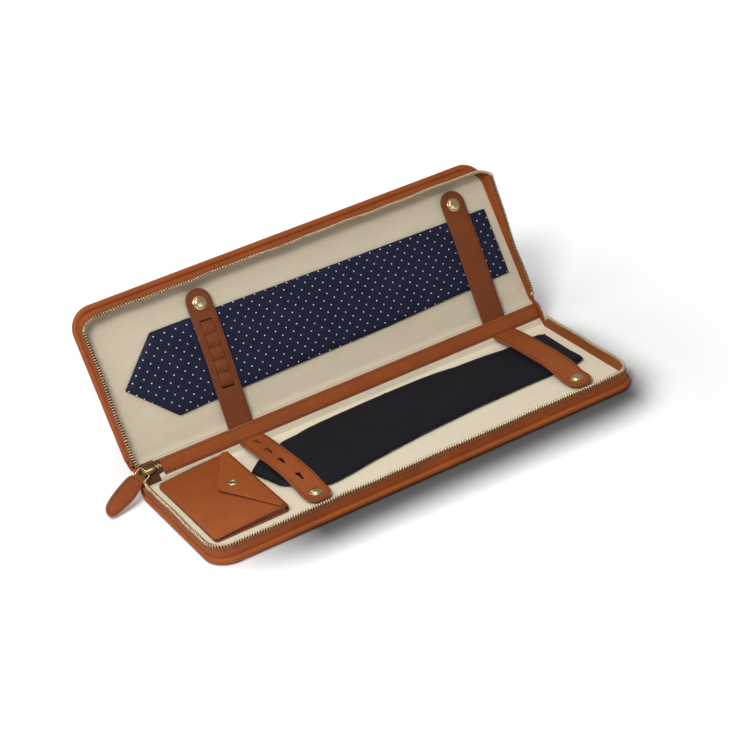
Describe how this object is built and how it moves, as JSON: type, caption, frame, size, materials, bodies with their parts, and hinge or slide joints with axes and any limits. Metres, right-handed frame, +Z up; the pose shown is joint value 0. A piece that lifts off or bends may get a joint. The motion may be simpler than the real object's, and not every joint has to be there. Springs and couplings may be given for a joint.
{
  "type": "tie case",
  "caption": "Zip-round leather case for two ties: two shallow trays on a folding spine, with tie straps on snaps and a small envelope pouch.",
  "frame": {"origin": "middle of the base tray's flat underside", "axes": "+X along the case to the right as it stands open in front of you, -Y the base's front edge, +Z up"},
  "size_m": [0.4455, 0.2307, 0.1423],
  "materials": {
    "leather_tan": "smooth tan leather with a fine grain, darker painted edges and tonal stitching",
    "canvas_lining": "cream cotton canvas, fine plain weave",
    "board": "grey-brown stiffener board, hidden",
    "brass": "polished antique brass",
    "silk_pin_dot": "navy silk twill with small white pin dots",
    "silk_plain": "near-black navy silk satin"
  },
  "bodies": {
    "base": {"base_cover": "leather_tan", "base_board": "board", "base_lining": "canvas_lining", "base_gusset": "leather_tan", "base_zip": "brass", "base_zip_stop": "brass", "base_left_snap_stud": "brass", "base_right_snap_stud": "brass", "tie_plain": "silk_plain"},
    "spine": {"spine_cover": "leather_tan", "spine_band": "leather_tan", "spine_end_right": "leather_tan", "zip_slider": "brass", "zip_tail": "brass"},
    "lid": {"lid_cover": "leather_tan", "lid_board": "board", "lid_lining": "canvas_lining", "lid_gusset": "leather_tan", "lid_zip": "brass", "lid_zip_stop": "brass", "lid_left_snap_stud": "brass", "lid_right_snap_stud": "brass", "tie_dotted": "silk_pin_dot"},
    "base_left_strap": {"base_left_strap": "leather_tan", "base_left_snap_cap": "brass"},
    "base_right_strap": {"base_right_strap": "leather_tan", "base_right_snap_cap": "brass"},
    "lid_left_strap": {"lid_left_strap": "leather_tan", "lid_left_snap_cap": "brass", "lid_loop_strip": "leather_tan"},
    "lid_right_strap": {"lid_right_strap": "leather_tan", "lid_right_snap_cap": "brass"},
    "puller": {"puller_link": "brass", "puller_tab": "leather_tan"},
    "pouch": {"pouch_body": "leather_tan", "pouch_snap_post": "brass"},
    "pouch_flap": {"pouch_flap": "leather_tan", "pouch_snap_cap": "brass"}
  },
  "joints": [
    {"name": "base_fold", "type": "hinge", "parent": "base", "child": "spine", "pos_m": [0, 0.071, 0.011], "axis": [1, 0, 0], "range_deg": [-59.2, 30.8]},
    {"name": "lid_fold", "type": "hinge", "parent": "spine", "child": "lid", "pos_m": [0, 0.07817, 0.02303], "axis": [1, 0, 0], "range_deg": [0, 90]},
    {"name": "base_left_strap_lift", "type": "hinge", "parent": "base", "child": "base_left_strap", "pos_m": [-0.098, 0.0672, 0.0109], "axis": [1, 0, 0], "range_deg": [-85, 0]},
    {"name": "base_right_strap_lift", "type": "hinge", "parent": "base", "child": "base_right_strap", "pos_m": [0.1598, 0.0672, 0.0109], "axis": [1, 0, 0], "range_deg": [-85, 0]},
    {"name": "lid_left_strap_lift", "type": "hinge", "parent": "lid", "child": "lid_left_strap", "pos_m": [-0.102, 0.0802, 0.02624], "axis": [-1, 0, 0], "range_deg": [-85, 0]},
    {"name": "lid_right_strap_lift", "type": "hinge", "parent": "lid", "child": "lid_right_strap", "pos_m": [0.156, 0.0802, 0.02624], "axis": [-1, 0, 0], "range_deg": [-85, 0]},
    {"name": "puller_swing", "type": "hinge", "parent": "spine", "child": "puller", "pos_m": [-0.1958, 0.07111, 0.02211], "axis": [0.4179, -0.4652, -0.7804], "range_deg": [-95, 0]},
    {"name": "pouch_lift", "type": "slide", "parent": "base", "child": "pouch", "axis": [0, 0, -1], "range_m": [-0.04, 0]},
    {"name": "pouch_flap_fold", "type": "hinge", "parent": "pouch", "child": "pouch_flap", "pos_m": [-0.1246, 0, 0.0135], "axis": [0, -1, 0], "range_deg": [-110, 0]}
  ]
}
